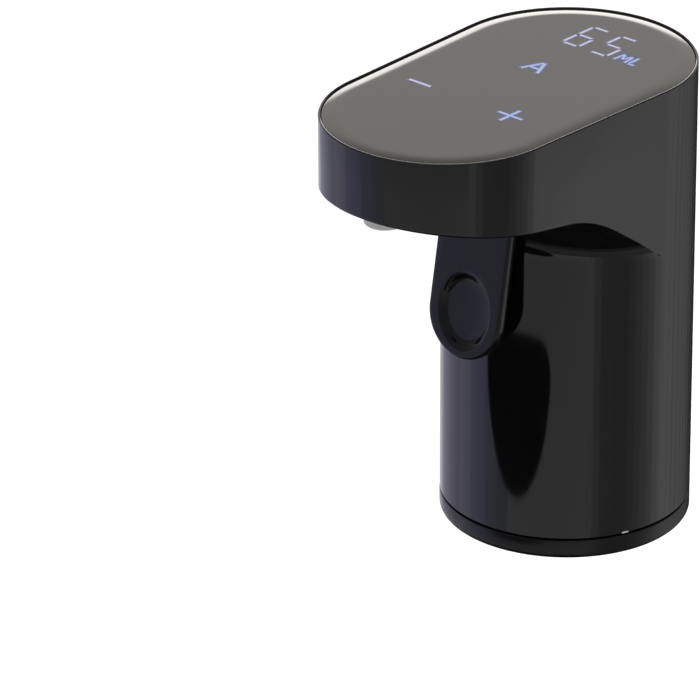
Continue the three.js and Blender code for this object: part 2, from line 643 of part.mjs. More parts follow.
function powerParts() {
  const { y, low, high } = BATTERY;
  add('battery_cell', 'cell_wrap', battery());
  add('cell_tab_plus', 'steel', box([-2.5, 2.5], [y - 7, y + 2], [high + 0.1, high + 0.35]));
  add('cell_tab_minus', 'steel', box([-2.5, 2.5], [y - 7, y + 3], [low - 0.5, low - 0.2]));
  add('chassis', 'grey_plastic', chassis());
  add('charge_board', 'board_green', box([-9, 9], [9.6, 22.4], [USB_Z - 3.2, USB_Z - 1.8]));
  add('usb_socket', 'steel', usbSocket());
  add('usb_cover', 'dark_silicone', usbCover());
}

// ---------------------------------------------------------------- head

function controlBoard() {
  const outline = planSolid([[3, BOARD_Z], [3, BOARD_Z + BOARD_T]]);
  const short = common(outline, box([-30, 30], [BOARD_END_Y, 30], [90, 100]));
  return cut(short, ...BOARD_SCREWS.map(({ x, y }) => rod(1.2, 90, 100, { x, y, segments: 10 })));
}

function touchPanel() {
  const inset = RIM + 0.1;
  const low = TOP_Z - PANEL_T + 0.2;
  const roll = [[0, TOP_Z - 0.5], [0.14, TOP_Z - 0.33], [1.5, TOP_Z - 0.16], [4.1, TOP_Z - 0.05]];
  return planSolid([[inset, low], ...roll.map(([further, z]) => [inset + further, z])]);
}

const LIGHT_TOP_Z = 101.3; // just under the panel
const TOUCH_KEYS = { minus: { x: -14.3, y: -31 }, mode: { x: -1.9, y: -9 }, plus: { x: 10.9, y: -31 } };

function headParts() {
  const top = BOARD_Z + BOARD_T;
  add('touch_panel', 'panel_glass', touchPanel());
  add('panel_gasket', 'dark_silicone', cut(
    planSolid([[1.3, TOP_Z - PANEL_T - 0.05], [1.3, TOP_Z - PANEL_T + 0.15]]),
    planSolid([[1.95, TOP_Z - PANEL_T - 1], [1.95, TOP_Z - PANEL_T + 1]]),
  ));
  add('control_board', 'board_green', controlBoard());
  add('display_module', 'white_plastic', box([-8.3, 13.6], [3.6, 16.8], [top + 0.1, LIGHT_TOP_Z]));
  for (const [key, { x, y }] of Object.entries(TOUCH_KEYS)) {
    add(`${key}_light_pipe`, 'white_plastic', rod(2.6, top + 0.1, LIGHT_TOP_Z, { x, y, segments: 16 }));
    add(`${key}_touch_pad`, 'copper', ring(3, 5, top + 0.1, LIGHT_TOP_Z - 0.1, { x, y, segments: 16 }));
  }
  BOARD_SCREWS.forEach(({ x, y }, i) => add(`board_screw_${i + 1}`, 'steel', screw(
    { x, y, z: top + 1.35, headR: 1.9, headH: 1.25, shankR: 0.85, length: 7, up: -1 })));
  add('control_chip', 'chip_black', box([-12, -5], [-24, -17], [BOARD_Z - 1.1, BOARD_Z - 0.1]));
  add('buzzer', 'chip_black', rod(4.5, BOARD_Z - 3.6, BOARD_Z - 0.1, { x: -15.5, y: -6, segments: 16 }));
}

// ---------------------------------------------------------------- leads

const LEAD_R = 0.6;
const UNDER_BOARD_Z = BOARD_Z - 0.5;

function motorLead(side) {
  const from = [side * 7.4, PUMP.y, 89.6];
  const route = [from, [side * 7.6, -10, 91], [side * 8.4, -8.6, 93], [side * 9, -7, UNDER_BOARD_Z]];
  return pipe(route, LEAD_R, { steps: 8, sides: 6 });
}

function leadParts() {
  const chargeRoute = [[-7.5, 13, USB_Z - 1.4], [-9.5, 11.8, 21], [-14, 10.4, 23], [-15, 10, 26],
    [-15.4, 9.4, 34], [-15.4, 9, 60], [-15.4, 9, 82], [-14.6, 9.4, UNDER_BOARD_Z]];
  const switchRoute = [[SWITCH_X - 6.7, -35, SWITCH_Z + 0.4], [-12.8, -34.6, 90.8], [-13.6, -33, 92.4],
    [-13.8, -31.5, UNDER_BOARD_Z]];
  add('motor_lead_plus', 'lead_red', motorLead(1));
  add('motor_lead_minus', 'lead_black', motorLead(-1));
  add('charge_lead', 'lead_red', pipe(chargeRoute, LEAD_R, { steps: 22, sides: 6 }));
  add('switch_lead', 'lead_black', pipe(switchRoute, LEAD_R, { steps: 8, sides: 6 }));
}

add('main_housing', 'gloss_black', mainHousing());
baseParts();
wineParts();
airParts();
pumpParts();
motorParts();
paddleParts();
powerParts();
headParts();
leadParts();

export default object;
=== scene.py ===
"""The looks of a bottle-top electric wine dispenser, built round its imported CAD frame."""
import json
import math

import bmesh
import bpy
from mathutils import Matrix, Vector


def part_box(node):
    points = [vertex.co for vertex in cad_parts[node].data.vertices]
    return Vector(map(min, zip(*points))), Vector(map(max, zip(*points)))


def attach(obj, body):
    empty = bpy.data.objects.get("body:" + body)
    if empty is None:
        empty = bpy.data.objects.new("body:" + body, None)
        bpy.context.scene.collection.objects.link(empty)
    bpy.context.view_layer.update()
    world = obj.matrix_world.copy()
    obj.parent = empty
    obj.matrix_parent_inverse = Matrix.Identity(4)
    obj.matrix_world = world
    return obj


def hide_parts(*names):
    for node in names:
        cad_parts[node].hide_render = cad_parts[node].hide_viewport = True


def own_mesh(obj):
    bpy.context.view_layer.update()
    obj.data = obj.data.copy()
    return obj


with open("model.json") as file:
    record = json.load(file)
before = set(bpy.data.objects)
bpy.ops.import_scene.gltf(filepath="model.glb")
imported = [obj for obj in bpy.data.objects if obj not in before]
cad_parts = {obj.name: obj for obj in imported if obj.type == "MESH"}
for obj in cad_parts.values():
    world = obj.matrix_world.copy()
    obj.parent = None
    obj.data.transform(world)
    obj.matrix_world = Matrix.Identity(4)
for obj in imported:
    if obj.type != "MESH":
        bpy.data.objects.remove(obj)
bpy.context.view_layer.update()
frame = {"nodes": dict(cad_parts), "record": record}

MM = 0.001               # the shapes below are worked out in millimetres
BASE_SCREWS = ("base_screw_1", "base_screw_2", "base_screw_3")
BOARD_SCREWS = ("board_screw_1", "board_screw_2", "board_screw_3", "board_screw_4")
SMOOTH_ANGLE = 32        # edges sharper than this many degrees stay crisp
MERGE = 2e-7             # points closer than this many metres are one


def box_mm(node):
    """Lowest and highest corner of a CAD node, in millimetres."""
    low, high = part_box(node)
    return low / MM, high / MM


def centre_mm(node):
    low, high = box_mm(node)
    return (low + high) / 2


HOUSING_LOW, HOUSING_HIGH = box_mm("main_housing")
BASE_HIGH = box_mm("base_ring")[1]
PANEL_LOW, PANEL_HIGH = box_mm("touch_panel")
PADDLE_HIGH = box_mm("push_paddle")[1]
PIN_LOW, PIN_HIGH = box_mm("paddle_pin")
PORT_LOW, PORT_HIGH = box_mm("usb_cover")
SPOUT_Y = centre_mm("aerator_insert").y

# Housing
COLUMN_R = HOUSING_HIGH.x
NOSE_R = COLUMN_R - 1
NOSE_Y = HOUSING_LOW.y + NOSE_R
TOP = HOUSING_HIGH.z
HOUSING_FOOT = HOUSING_LOW.z
LEAN = math.asin((NOSE_R - COLUMN_R) / -NOSE_Y)    # of the head's flat sides
TANGENT_Y = COLUMN_R * math.sin(LEAN)              # where the flat sides leave the column
UNDERSIDE_Z = TOP - 25.55          # the head's underside, extended to the column axis
UNDERSIDE_RISE = 0.159             # its rise for each millimetre towards the nose
FILLET_R = 12.7                    # between the column and the head's underside
FILLET_STEPS = 26
EDGE_R = 0.7                       # along the lower edge of the head
EDGE_STEPS = 6
EDGE_FADE = 4                      # the edge rounds up to EDGE_R over this distance from the column
WALL = 2
BORE_R = COLUMN_R - 2.3
RIM = 0.55                         # the housing's rim round the top panel
LEDGE_Z = TOP - 3.1

# Paddle
PIVOT = Vector((0, (PIN_LOW.y + PIN_HIGH.y) / 2, (PIN_LOW.z + PIN_HIGH.z) / 2))
PADDLE_TILT = math.radians(10)
PADDLE_HALF = PADDLE_HIGH.x
PADDLE_THICK = 2.4
PADDLE_FRONT = 2.05                # the front face stands this far in front of the pivot
PADDLE_TOP = 0.5                   # the plate's upper edge, above the pivot
PADDLE_ROUND = 34.7 - PADDLE_HALF  # from the pivot down to the centre of the round end
DISH = {"centre": -PADDLE_ROUND + 0.7, "half": (7.2, 8.8), "deep": 1.3}
DISH_FLOOR = 0.72                  # share of the dish's reach where its floor turns up into its wall

# Studio
FLOOR_Z = -300


# ------------------------------------------------------------------ mesh helpers

def make_object(name, points, faces, material=None):
    """A mesh object from millimetre points, smooth where its faces meet softly."""
    mesh = bpy.data.meshes.new(name)
    mesh.from_pydata([Vector(p) * MM for p in points], [], faces)
    obj = bpy.data.objects.new(name, mesh)
    bpy.context.scene.collection.objects.link(obj)
    tidy(obj)
    if material:
        mesh.materials.append(material)
    return obj


def tidy(obj):
    """Merges doubled points, turns the faces outwards and marks the crisp edges."""
    bm = bmesh.new()
    bm.from_mesh(obj.data)
    bmesh.ops.remove_doubles(bm, verts=bm.verts, dist=MERGE)
    bmesh.ops.dissolve_degenerate(bm, edges=bm.edges, dist=MERGE)
    bmesh.ops.recalc_face_normals(bm, faces=bm.faces)
    limit = math.radians(SMOOTH_ANGLE)
    for edge in bm.edges:
        edge.smooth = edge.is_manifold and edge.calc_face_angle(0) < limit
    for face in bm.faces:
        face.smooth = True
    bm.to_mesh(obj.data)
    bm.free()


def grid_faces(columns, rows, close_columns=True, close_rows=True):
    """Quads over points stored column by column."""
    faces = []
    for i in range(columns if close_columns else columns - 1):
        for j in range(rows if close_rows else rows - 1):
            a, b = i * rows + j, i * rows + (j + 1) % rows
            c, d = ((i + 1) % columns) * rows + (j + 1) % rows, ((i + 1) % columns) * rows + j
            faces.append((a, d, c, b))
    return faces


def revolve(name, profile, material, centre=(0, 0), segments=128, closed=True):
    """A body turned about an upright axis. An open profile starts and ends on the axis."""
    points = []
    for i in range(segments):
        a = 2 * math.pi * i / segments
        points += [(centre[0] + r * math.cos(a), centre[1] + r * math.sin(a), z) for r, z in profile]
    return make_object(name, points, grid_faces(segments, len(profile), close_rows=closed), material)


def arc(centre, radius, start, end, steps):
    """Points on a circular arc in a profile plane, angles in degrees."""
    turned = [math.radians(start + (end - start) * k / steps) for k in range(steps + 1)]
    return [(centre[0] + radius * math.cos(a), centre[1] + radius * math.sin(a)) for a in turned]


def block(low, high):
    """A box to join or cut with."""
    xs, ys, zs = zip(low, high)
    points = [(x, y, z) for x in xs for y in ys for z in zs]
    faces = [(0, 1, 3, 2), (4, 6, 7, 5), (0, 4, 5, 1), (2, 3, 7, 6), (0, 2, 6, 4), (1, 5, 7, 3)]
    return make_object("cutter", points, faces)


def rod(radius, start, end, segments=48):
    """A cylinder between two points, to join or cut with."""
    start, end = Vector(start), Vector(end)
    along = (end - start).normalized()
    side = along.orthogonal().normalized()
    other = along.cross(side)
    ring = [side * math.cos(a) + other * math.sin(a)
            for a in (2 * math.pi * k / segments for k in range(segments))]
    points = [start + radius * r for r in ring] + [end + radius * r for r in ring]
    return make_object("cutter", points, drum_faces(segments))


def drum_faces(n):
    """Faces of a solid between two loops of n points: its sides and its two ends."""
    sides = [(k, (k + 1) % n, n + (k + 1) % n, n + k) for k in range(n)]
    return sides + [tuple(reversed(range(n))), tuple(range(n, 2 * n))]


def prism(outline, put, depth):
    """An outline of (u, v) pairs put in space by put(u, v, w), between w = 0 and depth."""
    points = [put(u, v, 0) for u, v in outline] + [put(u, v, depth) for u, v in outline]
    return make_object("cutter", points, drum_faces(len(outline)))


def combine(obj, others, operation):
    """Joins, cuts or crosses obj with other solids, and removes them."""
    for other in others:
        step = obj.modifiers.new("step", "BOOLEAN")
        step.operation, step.solver, step.object = operation, "EXACT", other
    graph = bpy.context.evaluated_depsgraph_get()
    result = bpy.data.meshes.new_from_object(obj.evaluated_get(graph))
    obj.modifiers.clear()
    obj.data = result
    for other in others:
        bpy.data.objects.remove(other)
    tidy(obj)
    return obj


def cut(obj, others):
    return combine(obj, others, "DIFFERENCE")


def join(obj, others):
    return combine(obj, others, "UNION")


def soften(obj, width):
    """Rounds every edge that is sharper than 40 degrees."""
    bm = bmesh.new()
    bm.from_mesh(obj.data)
    sharp = [e for e in bm.edges if e.is_manifold and e.calc_face_angle(0) > math.radians(40)]
    bmesh.ops.bevel(bm, geom=sharp, offset=width * MM, segments=3, affect="EDGES", profile=0.5,
                    clamp_overlap=True)
    bm.to_mesh(obj.data)
    bm.free()
    tidy(obj)


# ------------------------------------------------------------------ materials

def link_noise(tree, scale, detail=3.0, stretch=(1, 1, 1)):
    """A noise texture in object space."""
    coords = tree.nodes.new("ShaderNodeTexCoord")
    mapping = tree.nodes.new("ShaderNodeMapping")
    mapping.inputs["Scale"].default_value = stretch
    noise = tree.nodes.new("ShaderNodeTexNoise")
    noise.inputs["Scale"].default_value = scale
    noise.inputs["Detail"].default_value = detail
    tree.links.new(coords.outputs["Object"], mapping.inputs["Vector"])
    tree.links.new(mapping.outputs["Vector"], noise.inputs["Vector"])
    return noise.outputs["Fac"]


def surface(name, colour, roughness, metallic=0.0, vary=0.12, mottle=60, grain=900, grain_depth=0.02,
            rough_spread=0.05, stretch=(1, 1, 1), **sockets):
    """A procedural finish: mottled colour, uneven roughness and a fine grain, round one set of values."""
    material = bpy.data.materials.new(name)
    material.use_nodes = True
    tree = material.node_tree
    shader = tree.nodes["Principled BSDF"]
    ramp = tree.nodes.new("ShaderNodeValToRGB")
    dark, light = ramp.color_ramp.elements
    dark.color, dark.position = [c * (1 - vary) for c in colour] + [1], 0.35
    light.color, light.position = [min(1, c * (1 + vary)) for c in colour] + [1], 0.65
    tree.links.new(link_noise(tree, mottle, 4.0, stretch), ramp.inputs["Fac"])
    tree.links.new(ramp.outputs["Color"], shader.inputs["Base Color"])
    spread = tree.nodes.new("ShaderNodeMapRange")
    spread.inputs["To Min"].default_value = max(0.0, roughness - rough_spread)
    spread.inputs["To Max"].default_value = roughness + rough_spread
    tree.links.new(link_noise(tree, mottle * 2.3, 5.0, stretch), spread.inputs["Value"])
    tree.links.new(spread.outputs["Result"], shader.inputs["Roughness"])
    bump = tree.nodes.new("ShaderNodeBump")
    bump.inputs["Strength"].default_value = grain_depth
    bump.inputs["Distance"].default_value = 0.0002
    tree.links.new(link_noise(tree, grain, 2.0, stretch), bump.inputs["Height"])
    tree.links.new(bump.outputs["Normal"], shader.inputs["Normal"])
    shader.inputs["Metallic"].default_value = metallic
    for socket, value in sockets.items():
        shader.inputs[socket.replace("_", " ")].default_value = value
    return material


def glow(name, colour):
    """A lit mark: its light, over a body of the same hue that is nearly black."""
    return surface(name, [c * 0.05 for c in colour], 0.25, vary=0.3, mottle=400, grain=1500,
                   grain_depth=0.01, Emission_Color=(*colour, 1), Emission_Strength=1.0)


FINISH = {
    "gloss_black": surface("gloss_black", (0.004, 0.004, 0.0045), 0.06, vary=0.2, mottle=35, grain=260,
                           grain_depth=0.006, rough_spread=0.02),
    "panel_glass": surface("panel_glass", (0.034, 0.031, 0.027), 0.06, vary=0.03, mottle=22, grain=300,
                           grain_depth=0.004, rough_spread=0.02),
    "base_black": surface("base_black", (0.006, 0.006, 0.0065), 0.2, vary=0.25, mottle=80, grain=1600,
                          grain_depth=0.05, Specular_IOR_Level=0.32),
    "paddle_black": surface("paddle_black", (0.005, 0.0045, 0.004), 0.09, vary=0.2, mottle=60, grain=900,
                            grain_depth=0.02, Specular_IOR_Level=0.34),
    "silicone": surface("silicone", (0.47, 0.49, 0.51), 0.55, vary=0.05, mottle=140, grain=2200,
                        grain_depth=0.05, Subsurface_Weight=0.3, Subsurface_Scale=0.002),
    "dark_silicone": surface("dark_silicone", (0.012, 0.012, 0.0125), 0.5, vary=0.2, mottle=160, grain=2600,
                             grain_depth=0.08),
    "clear_tube": surface("clear_tube", (0.62, 0.66, 0.68), 0.3, vary=0.04, mottle=100, grain=900,
                          Subsurface_Weight=0.4, Subsurface_Scale=0.002),
    "steel": surface("steel", (0.56, 0.57, 0.59), 0.26, metallic=1.0, vary=0.1, mottle=40, grain=500,
                     grain_depth=0.06, stretch=(1, 1, 14)),
    "spring_steel": surface("spring_steel", (0.6, 0.61, 0.63), 0.22, metallic=1.0, vary=0.12, mottle=220,
                            grain=1500),
    "brass": surface("brass", (0.62, 0.44, 0.18), 0.28, metallic=1.0, vary=0.12, mottle=120, grain=800,
                     grain_depth=0.05, stretch=(1, 1, 9)),
    "board_green": surface("board_green", (0.012, 0.075, 0.035), 0.35, vary=0.25, mottle=500, grain=1400,
                           grain_depth=0.05),
    "chip_black": surface("chip_black", (0.018, 0.018, 0.02), 0.5, vary=0.2, mottle=700, grain=3000,
                          grain_depth=0.1),
    "white_plastic": surface("white_plastic", (0.74, 0.74, 0.7), 0.42, vary=0.04, mottle=90, grain=1500,
                             grain_depth=0.03),
    "grey_plastic": surface("grey_plastic", (0.1, 0.105, 0.112), 0.45, vary=0.1, mottle=120, grain=1800,
                            grain_depth=0.06),
    "cell_wrap": surface("cell_wrap", (0.045, 0.17, 0.38), 0.3, vary=0.1, mottle=70, grain=600,
                         grain_depth=0.05),
    "copper": surface("copper", (0.72, 0.36, 0.2), 0.3, metallic=1.0, vary=0.14, mottle=200, grain=900),
    "lead_red": surface("lead_red", (0.38, 0.02, 0.018), 0.42, vary=0.1, mottle=200, grain=1500),
    "lead_black": surface("lead_black", (0.01, 0.01, 0.01), 0.42, vary=0.2, mottle=200, grain=1500),
}
LIT_WHITE = glow("lit_white", (0.33, 0.34, 0.55))
LIT_BLUE = glow("lit_blue", (0.2, 0.3, 0.62))
HALO_WHITE = glow("halo_white", (0.03, 0.035, 0.13))
HALO_BLUE = glow("halo_blue", (0.015, 0.05, 0.19))


def place(obj, body, slot, *nodes):
    """Hangs a new piece on the body that it rides and hides the CAD nodes that it stands in for. The slot is
    not used.
    """
    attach(obj, body)
    if nodes:
        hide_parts(*nodes)
    return obj


# ------------------------------------------------------------------ camera

def make_camera():
    """A long lens, from in front of the nose and to the object's right, looking down on the panel."""
    azimuth, elevation = math.radians(41.8575), math.radians(25.6768)
    distance, slide, rise = 1428.345, 36.97, -32.7707    # millimetres
    back = Vector((math.sin(azimuth) * math.cos(elevation), -math.cos(azimuth) * math.cos(elevation),
                   math.sin(elevation)))
    right = (-back).cross(Vector((0, 0, 1))).normalized()
    up = right.cross(-back)
    data = bpy.data.cameras.new("camera")
    data.sensor_width = 36
    data.lens = 340.1
    data.shift_x = -0.0614
    data.clip_start, data.clip_end = 0.05, 50
    camera = bpy.data.objects.new("camera", data)
    turn = Matrix((right, up, back)).transposed().to_4x4()
    camera.matrix_world = Matrix.Translation((back * distance - right * slide - up * rise) * MM) @ turn
    bpy.context.scene.collection.objects.link(camera)
    bpy.context.scene.camera = camera


# ------------------------------------------------------------------ the head's plan

def plan_stations(rear=96, side=26, nose=96):
    """(point, outward normal) round the plan, counter-clockwise from the right tangent point."""
    def on_arc(y, r, a):
        n = Vector((math.cos(a), math.sin(a)))
        return Vector((0, y)) + r * n, n

    left = math.pi - LEAN
    shares = [(k / side) ** 1.5 for k in range(side + 1)]
    stations = [on_arc(0, COLUMN_R, LEAN + (math.pi - 2 * LEAN) * k / rear) for k in range(rear)]
    (start, normal), (end, _) = on_arc(0, COLUMN_R, left), on_arc(NOSE_Y, NOSE_R, left)
    stations += [(start.lerp(end, share), normal) for share in shares[:-1]]
    stations += [on_arc(NOSE_Y, NOSE_R, left + (math.pi + 2 * LEAN) * k / nose) for k in range(nose)]
    (start, normal), (end, _) = on_arc(0, COLUMN_R, LEAN), on_arc(NOSE_Y, NOSE_R, LEAN)
    stations += [(start.lerp(end, share), normal) for share in reversed(shares[1:])]
    return stations


STATIONS = plan_stations()


def underside(y):
    """Height of the head's underside."""
    return UNDERSIDE_Z - UNDERSIDE_RISE * y


def plan_body(name, levels, material):
    """A solid through plan outlines at (inset, height) levels, with flat ends."""
    points = []
    for point, normal in STATIONS:
        points += [(*(point - inset * normal), z) for inset, z in levels]
    rows, columns = len(levels), len(STATIONS)
    faces = grid_faces(columns, rows, close_rows=False)
    faces.append(tuple(i * rows for i in reversed(range(columns))))
    faces.append(tuple(i * rows + rows - 1 for i in range(columns)))
    return make_object(name, points, faces, material)


# ------------------------------------------------------------------ housing

def fillet_path(direction, reach):
    """Points from the column wall along the fillet and the underside, out to a radius."""
    span = COLUMN_R + FILLET_R
    bend = math.acos(max(-1, min(1, (span - min(reach, span)) / FILLET_R)))
    bent, flat = FILLET_R * bend, max(0.0, reach - span)
    path = []
    for k in range(FILLET_STEPS + 1):
        s = (bent + flat) * k / FILLET_STEPS
        if s < bent:
            a = s / FILLET_R
            r, drop = span - FILLET_R * math.cos(a), FILLET_R * (1 - math.sin(a))
        else:
            r = reach - (bent + flat - s)
            drop = FILLET_R * (1 - math.sin(bend)) if reach < span else 0
        x, y = direction * r
        path.append((x, y, underside(y) - drop))
    return path


# Shares of a plain wall's height, close together where it meets a curved part.
STEPS = (0, 0.015, 0.05, 0.13, 0.4)


def outer_wall(point, normal):
    """The outside of the housing at one station, from the foot to the top of the wall."""
    front = point.y < TANGENT_Y - 0.01
    blend = min(1, max(0, (point.length - COLUMN_R) / EDGE_FADE))
    rounding = EDGE_R * blend * blend * (3 - 2 * blend) if front else 0
    inner = point - rounding * normal
    direction = (inner if front else point).normalized()
    foot = direction * COLUMN_R
    shoulder = underside(foot.y if front else TANGENT_Y) - FILLET_R
    chamfer = 0.2
    low = HOUSING_FOOT + chamfer
    wall = [(*(direction * (COLUMN_R - chamfer)), HOUSING_FOOT), (*foot, low)]
    wall += [(*foot, low + (shoulder - low) * (1 - share)) for share in reversed(STEPS)]
    if front:
        path = fillet_path(direction, inner.length)
        corner = Vector((*point, path[-1][2] + UNDERSIDE_RISE * (inner.y - point.y)))
        start, end = Vector(path[-1]), corner + Vector((0, 0, rounding))
        shares = [k / EDGE_STEPS for k in range(1, EDGE_STEPS + 1)]
        edge = [start.lerp(corner, t).lerp(corner.lerp(end, t), t) for t in shares]
    else:
        path = [wall[-1]] * (FILLET_STEPS + 1)
        edge = [Vector(wall[-1])] * EDGE_STEPS
    low = edge[-1][2]
    rise = [(*point, low + (TOP - RIM / 2 - low) * share) for share in STEPS]
    rise.append((*point, TOP - RIM / 2))
    return wall + path + [tuple(p) for p in edge] + rise


def housing_profile(point, normal):
    """The wall at one station, up the outside, over the rim and down the inside."""
    bead, rim_steps = RIM / 2, 14
    rim = [(*(point - (bead - bead * math.cos(a)) * normal), TOP - bead + bead * math.sin(a))
           for a in (math.pi * k / rim_steps for k in range(1, rim_steps))]
    lip = [(*(point - inset * normal), z) for inset, z in (
        (RIM, TOP - bead), (RIM, LEDGE_Z), (WALL, LEDGE_Z))]
    inner = point - WALL * normal
    bore = inner.normalized() * BORE_R
    inside = [(*inner, underside(inner.y) + WALL), (*bore, underside(bore.y) + WALL + 0.02),
              (*bore, HOUSING_FOOT)]
    return outer_wall(point, normal) + rim + lip + inside


def housing_fittings():
    """Screw bosses, board posts, the spout's collar and the wall behind the switch, inside the shell."""
    boss_r, boss_low, boss_high, rib_r, rib_z = 2.4, 4.8, 16, 1.0, 12
    post_r, rear_post_low, post_high = 2.6, 86, 95.3
    collar_r, collar_high = 5.7, 91.2
    solids = []
    for name in BASE_SCREWS:
        c = centre_mm(name)
        out = Vector((c.x, c.y)).normalized() * (BORE_R + 0.8)
        solids.append(rod(boss_r, (c.x, c.y, boss_low), (c.x, c.y, boss_high)))
        solids.append(rod(rib_r, (c.x, c.y, rib_z), (out.x, out.y, rib_z)))
    for name in BOARD_SCREWS:
        c = centre_mm(name)
        foot = rear_post_low if c.y > 0 else underside(c.y) + 1
        solids.append(rod(post_r, (c.x, c.y, foot), (c.x, c.y, post_high)))
    solids.append(rod(collar_r, (0, SPOUT_Y, underside(SPOUT_Y) + 1), (0, SPOUT_Y, collar_high)))
    solids.append(block((-11, -40.4, 86.6), (9.5, -39.1, 92.4)))
    return solids


def paddle_slot():
    """Cutter for the mouth that the paddle comes out of, narrower at its foot."""
    side = [(-30.9, 87.5), (-30.9, 84), (-29.55, 79.6), (-30.3, 76.5), (-31, 73), (-21, 73), (-21, 87.5)]
    half, foot_half, foot_z, wide_z, top_z = PADDLE_HALF + 0.4, 7, 73, 77.2, 90
    mouth = [(-half, top_z), (-half, wide_z), (-foot_half, foot_z), (foot_half, foot_z), (half, wide_z),
             (half, top_z)]
    seen_from_side = prism(side, lambda y, z, x: (x - 11, y, z), 22)
    seen_from_front = prism(mouth, lambda x, z, y: (x, y - 35, z), 20)
    return combine(seen_from_side, [seen_from_front], "INTERSECT")


def make_housing():
    """The one-piece shell, with its fittings joined on and its openings cut through."""
    points = []
    for point, normal in STATIONS:
        points += housing_profile(point, normal)
    rows = len(points) // len(STATIONS)
    shell = make_object("housing_shell", points, grid_faces(len(STATIONS), rows), FINISH["gloss_black"])
    join(shell, housing_fittings())
    spout_hole_r, pin_hole_r, pin_play = 4.7, 0.8, 0.1
    cover_gap, recess_y, outside_y = 0.25, 25.4, 30
    port_half, port_half_high = 5.1, 2.2
    port = centre_mm("usb_cover")
    cut(shell, [
        paddle_slot(),
        rod(spout_hole_r, (0, SPOUT_Y, 80), (0, SPOUT_Y, 95), 96),
        rod(pin_hole_r, (PIN_LOW.x - pin_play, PIVOT.y, PIVOT.z), (PIN_HIGH.x + pin_play, PIVOT.y, PIVOT.z)),
        block((PORT_LOW.x - cover_gap, recess_y, PORT_LOW.z - cover_gap),
              (PORT_HIGH.x + cover_gap, outside_y, PORT_HIGH.z + cover_gap)),
        block((-port_half, 20, port.z - port_half_high), (port_half, outside_y, port.z + port_half_high)),
    ])
    return place(shell, "body", "gloss_black", "main_housing")


# ------------------------------------------------------------------ top panel and its marks

def make_panel():
    """Dark tinted panel, slightly domed towards its edge like a phone screen's."""
    inset, chamfer, edge_r, roll, drop = RIM + 0.1, 0.15, 0.2, 3.9, 0.28
    edge_steps, roll_steps = 6, 16
    low, high = PANEL_LOW.z, PANEL_HIGH.z
    levels = [(inset + chamfer, low), (inset, low + chamfer)]
    slope = math.atan(2 * drop / roll)
    for k in range(edge_steps + 1):
        a = (math.pi / 2 - slope) * k / edge_steps
        levels.append((inset + edge_r * (1 - math.cos(a)), high - drop - edge_r * (1 - math.sin(a))))
    start_in, start_z = levels[-1]
    for k in range(1, roll_steps + 1):
        t = k / roll_steps
        levels.append((start_in + roll * t, start_z + (high - start_z) * (1 - (1 - t) ** 2)))
    panel = plan_body("panel_top", levels, FINISH["panel_glass"])
    return place(panel, "body", "panel_glass", "touch_panel")


def stroke(start, end, width):
    """A flat bar on the panel, pointed by half its width past each end, as four corners."""
    start, end = Vector(start), Vector(end)
    along = (end - start).normalized() * width / 2
    side = Vector((-along.y, along.x))
    return [start + side, start - side, end - side, end + side]


def make_mark(name, strokes, width, material, proud):
    """A lit mark on the panel: thin bars that stand a hair above it."""
    points, faces = [], []
    low, high = PANEL_HIGH.z - 0.02, PANEL_HIGH.z + proud
    for start, end in strokes:
        base = len(points)
        corners = stroke(start, end, width)
        points += [(c.x, c.y, low) for c in corners] + [(c.x, c.y, high) for c in corners]
        faces += [(base + 3, base + 2, base + 1, base), (base + 4, base + 5, base + 6, base + 7)]
        faces += [(base + k, base + (k + 1) % 4, base + 4 + (k + 1) % 4, base + 4 + k) for k in range(4)]
    mark = make_object(name, points, faces, material)
    return place(mark, "body", "white_plastic")


def make_lit_mark(name, strokes, width, core, halo):
    """A mark with a bright core and a dim blue fringe round it."""
    fringe = 0.3
    make_mark(name, strokes, width, core, 0.04)
    fringed = []
    for start, end in strokes:
        start, end = Vector(start), Vector(end)
        along = (end - start).normalized() * fringe
        fringed.append((start - along, end + along))
    make_mark(f"{name}_fringe", fringed, width + 2 * fringe, halo, 0.02)


SEGMENTS = {
    "top": ((0, 2), (1, 2)), "middle": ((0, 1), (1, 1)), "low": ((0, 0), (1, 0)),
    "left_high": ((0, 1), (0, 2)), "left_low": ((0, 0), (0, 1)),
    "right_high": ((1, 1), (1, 2)), "right_low": ((1, 0), (1, 1)),
}
DIGITS = {"5": ("top", "left_high", "middle", "right_low", "low"),
          "6": ("top", "left_high", "middle", "left_low", "right_low", "low")}


def digit_strokes(digit, x, y, wide=4.3, tall=10.3, gap=0.55):
    """The lit segments of a digit, with gaps between them. (x, y) is its lower left corner."""
    strokes = []
    for segment in DIGITS[digit]:
        (u0, v0), (u1, v1) = SEGMENTS[segment]
        start, end = Vector((x + u0 * wide, y + v0 * tall / 2)), Vector((x + u1 * wide, y + v1 * tall / 2))
        trim = (end - start).normalized() * gap
        strokes.append((start + trim, end - trim))
    return strokes


def bar(x0, y0, x1, y1):
    return (x0, y0), (x1, y1)


def plus_strokes(x, y, reach=3.1, gap=0.3):
    """A level bar and two upright ones, centred on (x, y)."""
    return [bar(x - reach, y, x + reach, y), bar(x, y - reach, x, y - gap), bar(x, y + gap, x, y + reach)]


def letter_a_strokes(x, y, half=2.2, tall=4.9, peak=0.1, cross_half=1.2, cross_y=1.7):
    """A capital A that stands on the point (x, y)."""
    return [bar(x - half, y, x - peak, y + tall), bar(x + peak, y + tall, x + half, y),
            bar(x - cross_half, y + cross_y, x + cross_half, y + cross_y)]


